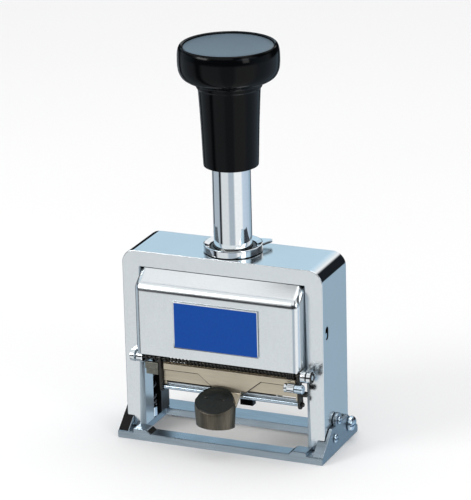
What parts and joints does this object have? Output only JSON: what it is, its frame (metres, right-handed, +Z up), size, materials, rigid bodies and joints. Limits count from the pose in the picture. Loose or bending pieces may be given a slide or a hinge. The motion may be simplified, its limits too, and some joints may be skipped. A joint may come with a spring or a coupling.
{
  "type": "numbering machine",
  "caption": "Hand-pressed numbering stamp: its knob drives a sprung plunger with number wheels down through a chromed arch while the ink pad swings clear.",
  "frame": {"origin": "on the floor plane, under the centre of the whole part's bounding box", "axes": "+Z up along the stem, -Y to the front with the label, +X to the right seen from the front"},
  "size_m": [0.092, 0.0484, 0.16],
  "materials": {
    "chrome": "bright polished chrome plate",
    "steel": "blue-grey plated steel, satin",
    "dark_steel": "blackened steel, semi-gloss",
    "nickel": "warm nickel plate, satin",
    "black_plastic": "glossy black moulding",
    "cap_grey": "grey-blue cap, satin gloss",
    "label_blue": "blue enamel, bare",
    "felt": "ink-soaked black felt",
    "brass": "machined brass",
    "spring_steel": "oiled spring steel"
  },
  "bodies": {
    "stand": {"casing": "chrome", "front_cover": "chrome", "rear_cover": "chrome", "label_plate": "label_blue", "front_cover_pin_left": "steel", "front_cover_pin_right": "steel", "rear_cover_pin_left": "steel", "rear_cover_pin_right": "steel", "base_frame": "steel", "base_screw_front_left": "steel", "base_screw_front_right": "steel", "base_screw_rear_left": "steel", "base_screw_rear_right": "steel", "base_screw_upper_left": "steel", "base_screw_upper_right": "steel", "stem_bush": "dark_steel", "spring_post_left": "steel", "spring_post_right": "steel", "return_spring_left": "spring_steel", "return_spring_right": "spring_steel", "inker_rod": "chrome", "inker_spring": "dark_steel", "inker_spring_stub": "dark_steel", "dial_screw": "steel"},
    "plunger": {"stem": "chrome", "knob": "black_plastic", "knob_cap": "cap_grey", "yoke": "steel", "side_plate_left": "steel", "side_plate_right": "steel", "wheel_shaft": "steel", "shaft_nut_left": "steel", "shaft_nut_right": "steel", "shaft_sleeve_left": "brass", "shaft_sleeve_right": "brass", "detent_comb": "spring_steel", "detent_rod": "steel"},
    "pawl": {"pawl_frame": "steel", "pawl_comb": "spring_steel"},
    "wheel_1": {"number_wheel_1": "brass"},
    "wheel_2": {"number_wheel_2": "brass"},
    "wheel_3": {"number_wheel_3": "brass"},
    "wheel_4": {"number_wheel_4": "brass"},
    "wheel_5": {"number_wheel_5": "brass"},
    "wheel_6": {"number_wheel_6": "brass"},
    "inker": {"inker_arm_left": "dark_steel", "inker_arm_right": "dark_steel", "tray_rod": "steel", "ink_tray": "nickel", "ink_pad": "felt", "holder_plate": "nickel", "holder_block": "steel", "holder_nut": "chrome", "holder_catch": "black_plastic", "thumb_tab": "dark_steel"},
    "lock": {"lock_ring": "chrome"},
    "dial": {"selector_dial": "steel"}
  },
  "joints": [
    {"name": "plunger_slide", "type": "slide", "parent": "stand", "child": "plunger", "axis": [0, 0, -1], "range_m": [0, 0.026], "stiffness_N_per_m": 600, "springref_m": -0.02, "deforming": ["return_spring_left", "return_spring_right"]},
    {"name": "inker_swing", "type": "hinge", "parent": "stand", "child": "inker", "pos_m": [0, -0.01297, 0.0353], "axis": [-1, 0, 0], "range_deg": [0, 90]},
    {"name": "pawl_swing", "type": "hinge", "parent": "plunger", "child": "pawl", "pos_m": [0, 0.00443, 0.0345], "axis": [1, 0, 0], "range_deg": [0, 36]},
    {"name": "wheel_1_turn", "type": "hinge", "parent": "plunger", "child": "wheel_1", "pos_m": [0, 0.00443, 0.0345], "axis": [1, 0, 0], "continuous": true},
    {"name": "wheel_2_turn", "type": "hinge", "parent": "plunger", "child": "wheel_2", "pos_m": [0, 0.00443, 0.0345], "axis": [1, 0, 0], "continuous": true},
    {"name": "wheel_3_turn", "type": "hinge", "parent": "plunger", "child": "wheel_3", "pos_m": [0, 0.00443, 0.0345], "axis": [1, 0, 0], "continuous": true},
    {"name": "wheel_4_turn", "type": "hinge", "parent": "plunger", "child": "wheel_4", "pos_m": [0, 0.00443, 0.0345], "axis": [1, 0, 0], "continuous": true},
    {"name": "wheel_5_turn", "type": "hinge", "parent": "plunger", "child": "wheel_5", "pos_m": [0, 0.00443, 0.0345], "axis": [1, 0, 0], "continuous": true},
    {"name": "wheel_6_turn", "type": "hinge", "parent": "plunger", "child": "wheel_6", "pos_m": [0, 0.00443, 0.0345], "axis": [1, 0, 0], "continuous": true},
    {"name": "lock_turn", "type": "hinge", "parent": "stand", "child": "lock", "pos_m": [0, 0.00443, 0.077], "axis": [0, 0, -1], "range_deg": [0, 60]},
    {"name": "dial_turn", "type": "hinge", "parent": "stand", "child": "dial", "pos_m": [-0.017, 0.02103, 0.0525], "axis": [0, 1, 0], "range_deg": [0, 300]}
  ],
  "couplings": [
    {"joint": "inker_swing", "follows": "plunger_slide", "rad_per_m": 60.4},
    {"joint": "pawl_swing", "follows": "plunger_slide", "rad_per_m": 24.1}
  ]
}
